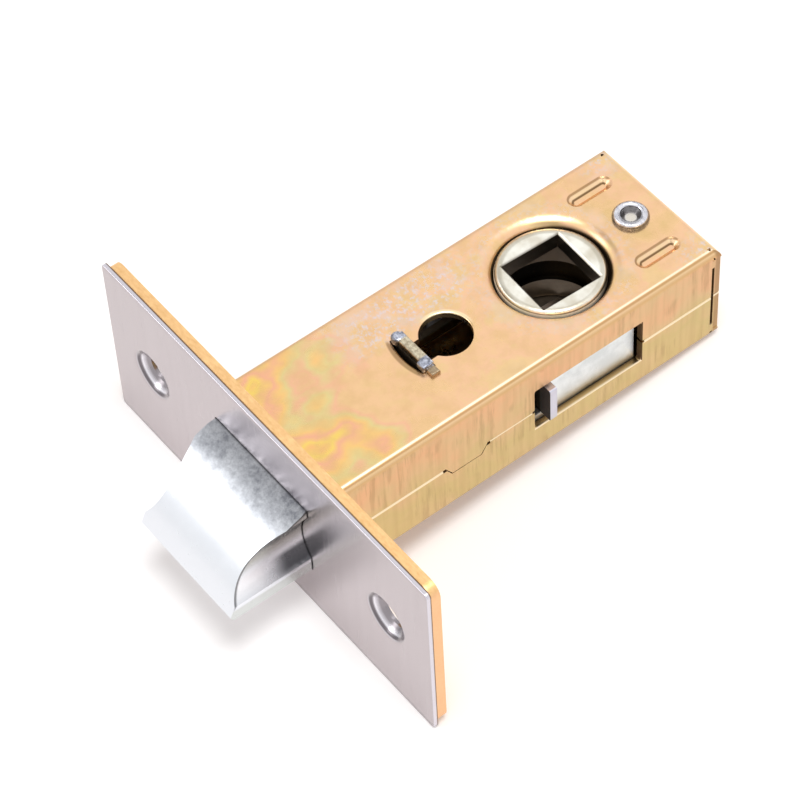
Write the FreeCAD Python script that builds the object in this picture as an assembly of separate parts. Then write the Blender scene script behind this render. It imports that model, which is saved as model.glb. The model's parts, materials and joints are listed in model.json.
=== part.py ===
import FreeCAD, Part
import math
import os

V = FreeCAD.Vector

# Frame, in mm: X runs along the forend, the bolt points to -Y, Z is the spindle axis.
# The origin is on the outer face of the forend, on the axis of the latch.

# Forend: a thin cover sheet over a steel plate
forend_length = 60.0
forend_width = 25.4
forend_drop = 0.3
cover_thickness = 0.55
cover_corner = 0.6
cover_edge_break = 0.12
plate_thickness = 1.35
plate_inset = 0.15
plate_corner = 1.6
plate_edge_break = 0.22
screw_spacing = 44.0
screw_hole_dia = 4.2
countersink_dia = 6.6
dimple_back = 0.15
dimple_wall = 0.4
dimple_land = 0.45
dimple_roll = 0.8
dimple_spread = 0.3

# Case: two folded half shells
case_width = 21.0
case_height = 15.0
case_depth = 58.3
sheet = 0.85
bend_radius = 1.1
seam_gap = 0.1
seam_edge_break = 0.12
rear_corner_gap = 0.5
rear_corner_drop = 2.4
corner_notch = 0.22
rear_flap_inset = 0.15
seam_tab_start = 17.6
seam_tab_length = 5.9
seam_tab_drop = 1.4
seam_tab_slant = 0.9
seam_tab_notch = 0.35
front_tab_width = 3.0
front_tab_offset = 3.6

# Side windows, split by the seam
window_rise = 3.5
window_fall = 3.3
window_lead = 1.55
window_tail = 2.05
window_notch = 0.4
window_edge_break = 0.12

# Rear of the case: peened rivet and two pressed ribs
rivet_inset = 4.8
rivet_dia = 3.2
rivet_dimple_dia = 2.4
rivet_dimple_depth = 0.65
rivet_head_dia = 4.45
rivet_head_height = 0.6
spacer_wall = 0.9
rib_spacing = 12.2
rib_inset = 2.9
rib_length = 6.0
rib_width = 1.95
rib_floor = 0.75
rib_depth = 0.55
rib_lip = 0.12

# Assembly hole behind the abutment
keyhole_y = 26.15
keyhole_dia = 6.25
neck_left = 1.4
neck_right = 1.9
keyhole_roll = 0.2

# Spring abutment with its two swaged tongues
abutment_y = 21.0
abutment_thickness = 1.28
tongue_left = 3.1
tongue_right = 2.7
tongue_rise = 0.9
knob_dia = 1.6
swage_length = 1.3
swage_spread = 0.45
foot_rise = 0.5
foot_reach = 1.35
slot_margin = 0.15
slot_bow = 0.55
slot_roll = 0.4

# Hub
backset = 41.5
square = 8.1
square_turn = -2.3
square_depth = 2.4
square_break = 0.25
journal_dia = 13.2
journal_round = 0.45
hub_sink = 0.5
collar_bend = 1.8
barrel_dia = 13.0
drum_dia = 14.8
core_dia = 12.0
core_groove_dia = 13.2
core_groove_half = 1.7
arm_half_angle = 37.2
arm_thickness = 1.2
arm_nose = 0.25
arm_span_angle = 12.0

# Latch bolt
bolt_offset = -0.3
bolt_half_width = 8.6
bolt_top = 4.85
bolt_bottom = 6.15
waist_depth = 1.4
waist_half_height = 3.8
bolt_reach = 11.4
bevel_mid_y = 6.64
bevel_mid_z = 1.4
bevel_end_y = 10.85
bevel_end_z = 4.1
nose_z = 5.3
nose_round = 0.5
bolt_corner = 0.35
bolt_tail = 7.4
stud_spacing = 12.6
stud_dia = 2.2
stud_head_dia = 3.3
stud_head_height = 0.6

# Yoke: one folded strip from the bolt to the hub arms
yoke_sheet = 1.0
yoke_half_height = 3.8
yoke_wall_gap = 0.1
yoke_bend = 1.5
yoke_front_margin = 0.5
ear_length = 2.5
lug_y = 32.1
lug_rise = 3.0
lug_fall = 2.3
lug_reach = 0.8
lug_round = 0.25
lance_length = 2.6

# Bolt spring
spring_z = -0.6
spring_wire = 0.9
spring_dia = 7.2
spring_turns = 7
pocket_bottom = -0.5

# Clearances
slide_gap = 0.12
running_gap = 0.09
layer_gap = 0.2
cam_gap = 0.25
arm_gap = 0.35
ear_gap = 0.3
stop_gap = 0.25
seat_gap = 0.05

# Derived sizes
half_w = case_width / 2
half_h = case_height / 2
case_front = cover_thickness + plate_thickness
case_end = case_depth
inner_w = half_w - sheet
inner_h = half_h - sheet
dimple_end = case_front - dimple_back
rivet_y = case_end - rivet_inset
rib_mid = case_end - rib_inset - rib_length / 2
arm_radius = inner_w - arm_gap
arm_angle = math.radians(arm_half_angle)
travel = 2 * arm_radius * math.sin(arm_angle)
yoke_outer = inner_w - yoke_wall_gap
yoke_inner = yoke_outer - yoke_sheet
yoke_rear = case_end - sheet - travel - stop_gap
arm_low = yoke_half_height + layer_gap
arm_high = arm_low + arm_thickness
ear_high = arm_low + yoke_sheet
ear_inner = barrel_dia / 2 + ear_gap
collar_low = arm_high + layer_gap
collar_bore = journal_dia / 2 + running_gap
hub_high = half_h - hub_sink
ear_front = backset - arm_radius * math.sin(arm_angle) + cam_gap
window_start = lug_y - window_lead
window_end = lug_y + yoke_sheet + travel + window_tail


def box(x0, x1, y0, y1, z0, z1):
    return Part.makeBox(x1 - x0, y1 - y0, z1 - z0, V(x0, y0, z0))


def rod(radius, start, end):
    way = end - start
    return Part.makeCylinder(radius, way.Length, start, way)


def cone(r0, r1, start, end):
    way = end - start
    return Part.makeCone(r0, r1, way.Length, start, way)


def prism(points, way):
    return Part.Face(Part.makePolygon(points + points[:1])).extrude(way)


def along(shape, axis):
    """The straight edges of a shape that run along one axis."""
    found = []
    for edge in shape.Edges:
        if edge.Curve.TypeId != "Part::GeomLine":
            continue
        way = edge.Vertexes[-1].Point - edge.Vertexes[0].Point
        if abs(way.getAngle(axis)) < 1e-4 or abs(way.getAngle(axis) - math.pi) < 1e-4:
            found.append(edge)
    return found


def mirror(shape, axis):
    return shape.mirror(V(0, 0, 0), axis)


def export(shape, name):
    shape = shape.removeSplitter()
    shape.exportStep("parts/" + name + ".step")


def plate_blank(length, width, corner, y0, y1):
    half = length / 2
    low = -forend_drop - width / 2
    blank = box(-half, half, y0, y1, low, low + width)
    return blank.makeFillet(corner, along(blank, V(0, 1, 0)))


def screw_places():
    return [V(side * screw_spacing / 2, 0, -forend_drop) for side in (-1, 1)]


def bolt_section(grow, y0, y1):
    """The waisted section of the bolt, grown by a clearance and run along Y."""
    wide = bolt_half_width + grow
    top = bolt_top + grow
    low = -bolt_bottom - grow
    waist = bolt_half_width - waist_depth + grow
    edges = []
    for side in (1, -1):
        corner = [V(side * wide, y0, z) for z in (top, waist_half_height, -waist_half_height, low)]
        middle = V(side * waist, y0, 0)
        edges.append(Part.makeLine(corner[0], corner[1]))
        edges.append(Part.Arc(corner[1], middle, corner[2]).toShape())
        edges.append(Part.makeLine(corner[2], corner[3]))
    edges.append(Part.makeLine(V(-wide, y0, top), V(wide, y0, top)))
    edges.append(Part.makeLine(V(-wide, y0, low), V(wide, y0, low)))
    outline = Part.Wire(Part.__sortEdges__(edges))
    solid = Part.Face(outline).extrude(V(0, y1 - y0, 0))
    corners = [e for e in along(solid, V(0, 1, 0)) if abs(e.Vertexes[0].Z) > waist_half_height + 0.2]
    solid = solid.makeFillet(bolt_corner + grow, corners)
    solid.translate(V(bolt_offset, 0, 0))
    return solid


def dimple_hollow():
    """The hollow of a dished screw hole: a rolled rim, a cone and a short bore."""
    start = countersink_dia / 2 + dimple_spread
    hole = screw_hole_dia / 2
    land = dimple_end - dimple_land
    turn = math.radians(49)
    half = turn / 2

    def roll(angle):
        return V(start - dimple_roll * math.sin(angle), dimple_roll * (1 - math.cos(angle)), 0)

    edges = [
        Part.makeLine(V(0, -1, 0), V(start, -1, 0)),
        Part.makeLine(V(start, -1, 0), V(start, 0, 0)),
        Part.Arc(roll(0), roll(half), roll(turn)).toShape(),
        Part.makeLine(roll(turn), V(hole, land, 0)),
        Part.makeLine(V(hole, land, 0), V(hole, case_front + 1, 0)),
        Part.makeLine(V(hole, case_front + 1, 0), V(0, case_front + 1, 0)),
        Part.makeLine(V(0, case_front + 1, 0), V(0, -1, 0)),
    ]
    return Part.Face(Part.Wire(edges)).revolve(V(0, 0, 0), V(0, 1, 0), 360)


def forend_cover():
    cover = plate_blank(forend_length, forend_width, cover_corner, 0, cover_thickness)
    front = [e for e in cover.Edges if e.BoundBox.YMax < 1e-6]
    cover = cover.makeFillet(cover_edge_break, front)
    rim = countersink_dia / 2
    hole = screw_hole_dia / 2
    for place in screw_places():
        back = place + V(0, dimple_end, 0)
        behind = place + V(0, cover_thickness / 2, 0)
        hollow = dimple_hollow()
        hollow.translate(place)
        cover = cover.fuse(cone(rim, hole + dimple_wall, behind, back)).cut(hollow)
    return cover.cut(bolt_section(slide_gap, -1, case_front))


def forend_plate():
    length = forend_length - 2 * plate_inset
    width = forend_width - 2 * plate_inset
    plate = plate_blank(length, width, plate_corner, cover_thickness, case_front)
    front = [e for e in plate.Edges if e.BoundBox.YMax < cover_thickness + 1e-6]
    plate = plate.makeFillet(plate_edge_break, front)
    seat = countersink_dia / 2 + seat_gap
    for place in screw_places():
        plate = plate.cut(rod(seat, place, place + V(0, case_front + 1, 0)))
    plate = plate.cut(bolt_section(slide_gap, -1, case_front + 1))
    for slot in front_tabs(seat_gap):
        plate = plate.cut(slot)
    return plate


def front_tabs(grow):
    """The four tabs of the shells that are riveted flush in the forend plate."""
    tabs = []
    low = front_tab_offset - front_tab_width / 2 - grow
    high = front_tab_offset + front_tab_width / 2 + grow
    front = cover_thickness + seat_gap - grow
    for side in (-1, 1):
        x0, x1 = sorted((side * (inner_w - grow), side * (half_w + grow)))
        for z0, z1 in ((low, high), (-high, -low)):
            tabs.append(box(x0, x1, front, case_front + sheet / 2, z0, z1))
    return tabs


def collar():
    """The rim of the hub hole, drawn down into the case."""
    bend_z = half_h - collar_bend
    bend_r = collar_bore + collar_bend
    low = min(collar_low, bend_z - 0.1)
    inner = collar_bend - sheet
    k = math.sqrt(0.5)
    p = [
        V(collar_bore, 0, low),
        V(collar_bore, 0, bend_z),
        V(bend_r, 0, half_h),
        V(bend_r, 0, inner_h),
        V(collar_bore + sheet, 0, bend_z),
        V(collar_bore + sheet, 0, low),
    ]
    edges = [
        Part.makeLine(p[0], p[1]),
        Part.Arc(p[1], V(bend_r - collar_bend * k, 0, bend_z + collar_bend * k), p[2]).toShape(),
        Part.makeLine(p[2], p[3]),
        Part.Arc(p[3], V(bend_r - inner * k, 0, bend_z + inner * k), p[4]).toShape(),
        Part.makeLine(p[4], p[5]),
        Part.makeLine(p[5], p[0]),
    ]
    ring = Part.Face(Part.Wire(edges)).revolve(V(0, 0, 0), V(0, 0, 1), 360)
    ring.translate(V(0, backset, 0))
    return ring


def stadium(z, width):
    """A round-ended outline along Y, all round the line at the middle of a rib."""
    r = width / 2
    y0 = rib_mid - rib_length / 2 + rib_width / 2
    y1 = rib_mid + rib_length / 2 - rib_width / 2
    return Part.Wire([
        Part.makeLine(V(r, y0, z), V(r, y1, z)),
        Part.Arc(V(r, y1, z), V(0, y1 + r, z), V(-r, y1, z)).toShape(),
        Part.makeLine(V(-r, y1, z), V(-r, y0, z)),
        Part.Arc(V(-r, y0, z), V(0, y0 - r, z), V(r, y0, z)).toShape(),
    ])


def rib_groove():
    """The pressed groove of a rib, with sloped walls and a lip rolled over at the top."""
    lip = stadium(half_h, rib_width + 2 * rib_lip)
    rim = stadium(half_h - rib_lip, rib_width - rib_lip)
    floor = stadium(half_h - rib_depth, rib_floor)
    above = Part.Face(lip).extrude(V(0, 0, 1))
    return Part.makeLoft([lip, rim], True, True).fuse(Part.makeLoft([rim, floor], True, True)).fuse(above)


def rib_bump():
    """What the groove pushes into the case, one sheet thickness below it."""
    top = stadium(inner_h + 0.1, rib_width + sheet)
    low = stadium(inner_h - rib_depth, rib_floor + sheet)
    return Part.makeLoft([top, low], True, True)


def shell_blank():
    """The upper half shell before its seam and window are cut, folded from flat sheet."""
    seam = seam_gap / 2
    outer = box(-half_w, half_w, case_front, case_end, seam, half_h)
    folds = [e for e in outer.Edges if e.BoundBox.ZMin > half_h - 1e-6 and e.BoundBox.YMax > case_front + 1]
    outer = outer.makeFillet(bend_radius, folds)
    inner = box(-inner_w, inner_w, case_front - 1, case_end - sheet, -1, inner_h)
    folds = [e for e in inner.Edges if e.BoundBox.ZMin > inner_h - 1e-6 and e.BoundBox.YMax > case_front]
    inner = inner.makeFillet(bend_radius - sheet, folds)
    shell = outer.cut(inner)
    bend_z = half_h - bend_radius
    for side in (-1, 1):
        x0, x1 = sorted((side * inner_w, side * (half_w + 1)))
        slit_end = case_end - sheet
        slit_top = half_h - rear_corner_drop
        shell = shell.cut(box(x0, x1, slit_end - rear_corner_gap, slit_end, -1, slit_top))
        notch_y = slit_end - rear_corner_gap / 2
        notch = rod(corner_notch, V(side * (half_w - bend_radius), notch_y, half_h), V(side * half_w, notch_y, bend_z))
        shell = shell.cut(notch)
        x0, x1 = sorted((side * (half_w - rear_flap_inset), side * (half_w + 1)))
        shell = shell.cut(box(x0, x1, slit_end - 0.01, case_end + 1, -1, bend_z))
    hole = collar_bore + collar_bend
    shell = shell.cut(rod(hole, V(0, backset, inner_h - 1), V(0, backset, half_h + 1)))
    shell = shell.fuse(collar())
    top = half_h + 1
    low = inner_h - 1
    key = rod(keyhole_dia / 2, V(0, keyhole_y, low), V(0, keyhole_y, top))
    slot_end = abutment_y + abutment_thickness + slot_margin
    slot_start = abutment_y - slot_margin
    slot_left = -tongue_left - slot_margin
    slot_right = tongue_right + slot_margin
    neck = box(-neck_left, neck_right, slot_end - 0.1, keyhole_y, low, top)
    edges = [
        Part.Arc(V(slot_left, slot_start, low), V((slot_left + slot_right) / 2, slot_start - slot_bow, low),
                 V(slot_right, slot_start, low)).toShape(),
        Part.makeLine(V(slot_right, slot_start, low), V(slot_right, slot_end, low)),
        Part.makeLine(V(slot_right, slot_end, low), V(slot_left, slot_end, low)),
        Part.makeLine(V(slot_left, slot_end, low), V(slot_left, slot_start, low)),
    ]
    slot = Part.Face(Part.Wire(edges)).extrude(V(0, 0, top - low))
    shell = shell.cut(key.fuse(neck).fuse(slot).removeSplitter())
    rims = []
    for edge in shell.Edges:
        span = edge.BoundBox
        if span.ZMin > half_h - 1e-6 and span.YMin > slot_end + 1e-3 and span.YMax < keyhole_y + keyhole_dia / 2 + 1e-3:
            rims.append(edge)
    shell = shell.makeFillet(keyhole_roll, rims)
    rims = []
    for edge in shell.Edges:
        span = edge.BoundBox
        if span.ZMin > half_h - 1e-6 and span.YMin > case_front + 1 and span.YMax < slot_start + 1e-3:
            rims.append(edge)
    shell = shell.makeFillet(slot_roll, rims)
    rivet = rivet_dia / 2 + seat_gap
    shell = shell.cut(rod(rivet, V(0, rivet_y, low), V(0, rivet_y, top)))
    for side in (-1, 1):
        bump = rib_bump()
        groove = rib_groove()
        bump.translate(V(side * rib_spacing / 2, 0, 0))
        groove.translate(V(side * rib_spacing / 2, 0, 0))
        shell = shell.fuse(bump).cut(groove)
    return shell


def window_cut(high):
    """One half of the side windows, from the seam up to its edge."""
    reach = half_w + 1
    opening = box(-reach, reach, window_start, window_end, -high, high)
    opening = opening.makeFillet(0.4, along(opening, V(1, 0, 0)))
    notch = box(-reach, reach, window_start - window_notch, window_end + window_notch,
                -window_notch / 2, window_notch / 2)
    opening = opening.fuse(notch)
    core = box(-inner_w, inner_w, window_start - 1, window_end + 1, -high - 1, high + 1)
    opening = opening.cut(core)
    for side in (-1, 1):
        outer = window_rim(side * half_w, high, window_edge_break)
        inner = window_rim(side * (half_w - window_edge_break), high, 0)
        opening = opening.fuse(Part.makeLoft([outer, inner], True, True))
    return opening


def window_rim(x, high, grow):
    y0 = window_start - grow
    y1 = window_end + grow
    z = high + grow
    return Part.makePolygon([V(x, y0, -z), V(x, y1, -z), V(x, y1, z), V(x, y0, z), V(x, y0, -z)])


def seam_tab(grow):
    """The slanted tab of the upper shell that drops past the seam into the lower one."""
    y0 = seam_tab_start - grow
    y1 = seam_tab_start + seam_tab_length + grow
    low = -seam_tab_drop - grow
    points = [
        V(0, y0, seam_gap),
        V(0, y1, seam_gap),
        V(0, y1, -seam_gap),
        V(0, y1 - seam_tab_slant, low),
        V(0, y0 + seam_tab_slant, low),
        V(0, y0, -seam_gap),
    ]
    bars = []
    for x in (-half_w, inner_w):
        bar = prism(points, V(sheet, 0, 0))
        bar.translate(V(x, 0, 0))
        bars.append(bar)
    return bars


def upper_shell():
    shell = shell_blank().cut(window_cut(window_rise))
    for tab in seam_tab(0):
        shell = shell.fuse(tab)
    for tab in front_tabs(0):
        if tab.CenterOfMass.z > 0:
            shell = shell.fuse(tab)
    return shell


def lower_shell():
    shell = mirror(shell_blank(), V(0, 0, 1)).cut(window_cut(window_fall))
    for tab in seam_tab(seam_gap):
        shell = shell.cut(tab)
    for end in (seam_tab_start - seam_gap, seam_tab_start + seam_tab_length + seam_gap):
        notch = box(
            -half_w - 1,
            half_w + 1,
            end - seam_tab_notch,
            end + seam_tab_notch,
            -seam_tab_notch - seam_gap,
            0,
        )
        shell = shell.cut(notch.cut(box(-inner_w, inner_w, 0, case_end, -5, 5)))
    for tab in front_tabs(0):
        if tab.CenterOfMass.z < 0:
            shell = shell.fuse(tab)
    seam = []
    for edge in along(shell, V(0, 1, 0)):
        span = edge.BoundBox
        if abs(abs(span.XMin) - half_w) < 1e-6 and abs(span.ZMax + seam_gap / 2) < 1e-6:
            seam.append(edge)
    return shell.makeChamfer(seam_edge_break, seam)


def spring_abutment():
    y0 = abutment_y
    y1 = abutment_y + abutment_thickness
    width = yoke_inner - cam_gap
    high = inner_h - seat_gap
    plate = box(-width, width, y0, y1, -high, high)
    plate = plate.makeFillet(0.8, along(plate, V(0, 1, 0)))
    boss = cone(spring_dia / 2 - spring_wire - 0.5, spring_dia / 2 - spring_wire - 0.3,
                V(0, y0 - 1.2, spring_z), V(0, y0 + 0.1, spring_z))
    plate = plate.fuse(boss)
    top = half_h + tongue_rise
    for side in (1, -1):
        tongue = swaged_tongue(y0, y1, high - 1, top)
        plate = plate.fuse(tongue if side > 0 else mirror(tongue, V(0, 0, 1)))
    return plate


def swaged_tongue(y0, y1, low, top):
    """A tongue of the abutment: a bar with a knob at one end and a swaged block and foot at the other."""
    foot_z = half_h + 0.02
    bar = box(-tongue_left, tongue_right, y0, y1, low, top)
    bar = bar.makeFillet(0.3, [e for e in bar.Edges if e.BoundBox.ZMin > top - 1e-6])
    knob_x = -tongue_left + knob_dia / 4
    knob_y = y0 + knob_dia / 2 - swage_spread
    knob = rod(knob_dia / 2, V(knob_x, knob_y, foot_z), V(knob_x, knob_y, top + 0.05))
    knob = knob.makeFillet(0.35, [e for e in knob.Edges if e.BoundBox.ZMin > top])
    block = box(tongue_right - swage_length + 0.25, tongue_right + 0.25, y0 - swage_spread,
                y1 - swage_spread / 2, foot_z, top + 0.05)
    block = block.makeFillet(0.25, block.Edges)
    foot_top = half_h + foot_rise
    foot = box(tongue_right - 0.1, tongue_right + foot_reach, y0, y1 - 0.1, foot_z, foot_top)
    foot = foot.makeFillet(0.2, [e for e in foot.Edges if e.BoundBox.ZMin > foot_top - 1e-6])
    return bar.fuse(knob).fuse(block).fuse(foot)


def rear_rivet():
    radius = rivet_dia / 2
    top = half_h + rivet_head_height
    body = rod(radius, V(0, rivet_y, -half_h - 0.1), V(0, rivet_y, half_h + 0.1))
    for side in (1, -1):
        head = rod(rivet_head_dia / 2, V(0, rivet_y, side * half_h), V(0, rivet_y, side * top))
        rims = [e for e in head.Edges if e.Curve.TypeId == "Part::GeomCircle" and abs(e.BoundBox.ZMin - side * top) < 1e-6]
        body = body.fuse(head.makeFillet(rivet_head_height * 0.75, rims))
    mouth = rivet_dimple_dia / 2
    for side in (1, -1):
        place = V(0, rivet_y, side * (top + 0.01))
        floor = V(0, rivet_y, side * (top - rivet_dimple_depth))
        body = body.cut(cone(mouth, mouth * 0.6, place, floor))
        rims = []
        for edge in body.Edges:
            span = edge.BoundBox
            if abs(span.ZMin - side * top) < 1e-6 and abs(span.ZMax - side * top) < 1e-6 and span.XMax < mouth + 0.05:
                rims.append(edge)
        body = body.makeFillet(rivet_dimple_depth * 0.3, rims)
    return body


def rivet_spacer():
    inside = rivet_dia / 2 + seat_gap
    high = inner_h - 0.01
    start = V(0, rivet_y, -high)
    end = V(0, rivet_y, high)
    return rod(inside + spacer_wall, start, end).cut(rod(inside, start, end))


def hub_arms(z0):
    """The two arms of one layer. Their rear edge lies flat along the ears of the yoke at rest."""
    r = arm_radius
    spread = math.radians(arm_span_angle)
    tip_x = r * math.cos(arm_angle)
    tip_y = -r * math.sin(arm_angle)
    mid = arm_angle + spread / 2
    end = arm_angle + spread
    front_x = r * math.cos(end)
    front_y = -r * math.sin(end)
    root = barrel_dia / 2 - 0.4
    edges = [
        Part.makeLine(V(-tip_x, tip_y, z0), V(tip_x, tip_y, z0)),
        Part.Arc(V(tip_x, tip_y, z0), V(r * math.cos(mid), -r * math.sin(mid), z0), V(front_x, front_y, z0)).toShape(),
        Part.makeLine(V(front_x, front_y, z0), V(1, -root, z0)),
        Part.makeLine(V(1, -root, z0), V(-1, -root, z0)),
        Part.makeLine(V(-1, -root, z0), V(-front_x, front_y, z0)),
        Part.Arc(
            V(-front_x, front_y, z0),
            V(-r * math.cos(mid), -r * math.sin(mid), z0),
            V(-tip_x, tip_y, z0),
        ).toShape(),
    ]
    arms = Part.Face(Part.Wire(edges)).extrude(V(0, 0, arm_thickness))
    noses = [e for e in along(arms, V(0, 0, 1)) if abs(e.BoundBox.XMin) > front_x - 0.1]
    return arms.makeFillet(arm_nose, noses)


def hub():
    body = rod(drum_dia / 2, V(0, 0, -yoke_half_height + 0.1), V(0, 0, yoke_half_height - 0.1))
    body = body.fuse(rod(barrel_dia / 2, V(0, 0, -arm_high), V(0, 0, arm_high)))
    body = body.fuse(hub_arms(arm_low)).fuse(hub_arms(-arm_high))
    journal = rod(journal_dia / 2, V(0, 0, arm_high), V(0, 0, hub_high))
    rim = [e for e in journal.Edges if e.BoundBox.ZMin > hub_high - 1e-6]
    journal = journal.makeFillet(journal_round, rim)
    body = body.fuse(journal).fuse(mirror(journal, V(0, 0, 1)))
    half = square / 2
    hole = box(-half, half, -half, half, -hub_high - 1, hub_high + 1)
    lead = square_break
    for side in (1, -1):
        wide = half + lead
        mouth = Part.makeLoft([
            square_wire(wide, side * (hub_high + 0.001)),
            square_wire(half, side * (hub_high - lead)),
        ], True)
        hole = hole.fuse(mouth)
    hole.rotate(V(0, 0, 0), V(0, 0, 1), square_turn)
    core_end = hub_high - square_depth
    body = body.cut(hole).cut(rod(core_dia / 2, V(0, 0, -core_end), V(0, 0, core_end)))
    body = body.cut(rod(core_groove_dia / 2, V(0, 0, -core_groove_half), V(0, 0, core_groove_half)))
    body.translate(V(0, backset, 0))
    return body


def square_wire(half, z):
    corners = [V(-half, -half, z), V(half, -half, z), V(half, half, z), V(-half, half, z)]
    return Part.makePolygon(corners + corners[:1])


def latch_bolt():
    body = bolt_section(0, -bolt_reach - 2, bolt_tail)
    aside = -case_width
    start = V(aside, 0, bolt_top + 0.001)
    middle = V(aside, -bevel_mid_y, bevel_mid_z)
    end = V(aside, -bevel_end_y, -bevel_end_z)
    low = -bolt_bottom - 1
    nose = V(aside, -bolt_reach, -nose_z)
    foot = V(aside, -bolt_reach + nose_round, -bolt_bottom)
    corners = [
        end,
        nose,
        foot,
        V(aside, foot.y, low),
        V(aside, bolt_tail + 1, low),
        V(aside, bolt_tail + 1, bolt_top + 1),
        V(aside, 0, bolt_top + 1),
        start,
    ]
    edges = [Part.Arc(start, middle, end).toShape()]
    edges += [Part.makeLine(a, b) for a, b in zip(corners, corners[1:])]
    side_view = Part.Face(Part.Wire(edges)).extrude(V(2 * case_width, 0, 0))
    nose_edges = []
    for edge in along(side_view, V(1, 0, 0)):
        at = edge.Vertexes[0].Point
        if at.y < -bevel_end_y + 0.01 and at.z > low + 0.1:
            nose_edges.append(edge)
    side_view = side_view.makeFillet(0.25, nose_edges)
    body = body.common(side_view)
    pocket = spring_dia / 2 + 0.3
    body = body.cut(rod(pocket, V(0, pocket_bottom, spring_z), V(0, bolt_tail + 1, spring_z)))
    wall_end = bolt_tail + yoke_sheet
    for side in (-1, 1):
        x = side * stud_spacing / 2
        body = body.fuse(rod(stud_dia / 2, V(x, bolt_tail - 1, spring_z), V(x, wall_end + 0.1, spring_z)))
        head = rod(stud_head_dia / 2, V(x, wall_end, spring_z), V(x, wall_end + stud_head_height, spring_z))
        rim = [e for e in head.Edges if e.BoundBox.YMin > wall_end + 0.01]
        body = body.fuse(head.makeFillet(stud_head_height * 0.7, [rim[0]]))
    return body


def bolt_yoke():
    y0 = bolt_tail
    strip = box(-yoke_outer, yoke_outer, y0, yoke_rear, -yoke_half_height, yoke_half_height)
    strip = strip.makeFillet(yoke_bend, [e for e in along(strip, V(0, 0, 1)) if e.BoundBox.YMax < y0 + 1])
    gap = box(-yoke_inner, yoke_inner, y0 + yoke_sheet, yoke_rear + 1, -10, 10)
    gap = gap.makeFillet(yoke_bend - yoke_sheet, [e for e in along(gap, V(0, 0, 1)) if e.BoundBox.YMax < y0 + 2])
    strip = strip.cut(gap)
    wide = yoke_outer - yoke_bend
    wall = box(-wide, wide, y0, y0 + yoke_sheet, -bolt_bottom + yoke_front_margin, bolt_top - yoke_front_margin)
    wall = wall.makeFillet(1.0, along(wall, V(0, 1, 0)))
    strip = strip.fuse(wall)
    strip = strip.cut(rod(spring_dia / 2 + 0.4, V(0, y0 - 1, spring_z), V(0, y0 + 2, spring_z)))
    for side in (-1, 1):
        x = side * stud_spacing / 2
        strip = strip.cut(rod(stud_dia / 2 + 0.01, V(x, y0 - 1, spring_z), V(x, y0 + 2, spring_z)))
    ear_end = ear_front + ear_length
    ear = box(ear_inner, yoke_outer, ear_front, ear_end, arm_low, ear_high)
    ear = ear.fuse(box(yoke_inner, yoke_outer, ear_front, ear_end, yoke_half_height - 0.5, ear_high)).removeSplitter()
    fold = [e for e in along(ear, V(0, 1, 0)) if e.BoundBox.ZMin > ear_high - 1e-3 and e.BoundBox.XMin > yoke_inner]
    ear = ear.makeFillet(yoke_sheet * 0.7, fold)
    y1 = lug_y + yoke_sheet
    lug = box(yoke_inner + 0.1, half_w + lug_reach, lug_y, y1, -lug_fall, lug_rise)
    tips = [e for e in along(lug, V(0, 1, 0)) if e.BoundBox.XMin > half_w]
    lug = lug.makeFillet(lug_round, tips)
    lance = box(yoke_inner - 1, yoke_outer + 1, lug_y - lance_length, lug_y, -lug_fall, lug_rise)
    for side in (1, -1):
        turned = (lambda s: s) if side > 0 else (lambda s: mirror(s, V(1, 0, 0)))
        strip = strip.cut(turned(lance)).fuse(turned(lug))
        strip = strip.fuse(turned(ear)).fuse(mirror(turned(ear), V(0, 0, 1)))
    return strip


def bolt_spring():
    """A compression spring with ground ends, from the pocket in the bolt to the abutment."""
    start = pocket_bottom + seat_gap
    end = abutment_y - seat_gap
    length = end - start
    pitch = length / spring_turns
    radius = (spring_dia - spring_wire) / 2
    path = Part.makeHelix(pitch, length + pitch, radius)
    wire = Part.Wire(Part.makeCircle(spring_wire / 2, V(radius, 0, 0), V(0, 1, pitch / (2 * math.pi * radius))))
    coil = Part.Wire(path).makePipeShell([wire], True, True)
    coil.translate(V(0, 0, -pitch / 2))
    coil = coil.common(Part.makeCylinder(spring_dia, length))
    coil.rotate(V(0, 0, 0), V(1, 0, 0), -90)
    coil.translate(V(0, start, spring_z))
    return coil


PARTS = {
    "forend_cover": forend_cover,
    "forend_plate": forend_plate,
    "upper_shell": upper_shell,
    "lower_shell": lower_shell,
    "spring_abutment": spring_abutment,
    "rear_rivet": rear_rivet,
    "rivet_spacer": rivet_spacer,
    "hub": hub,
    "latch_bolt": latch_bolt,
    "bolt_yoke": bolt_yoke,
    "bolt_spring": bolt_spring,
}

os.makedirs("parts", exist_ok=True)
for name, make in PARTS.items():
    export(make(), name)
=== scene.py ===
import json
import math

import bpy
from mathutils import Matrix, Vector


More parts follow.
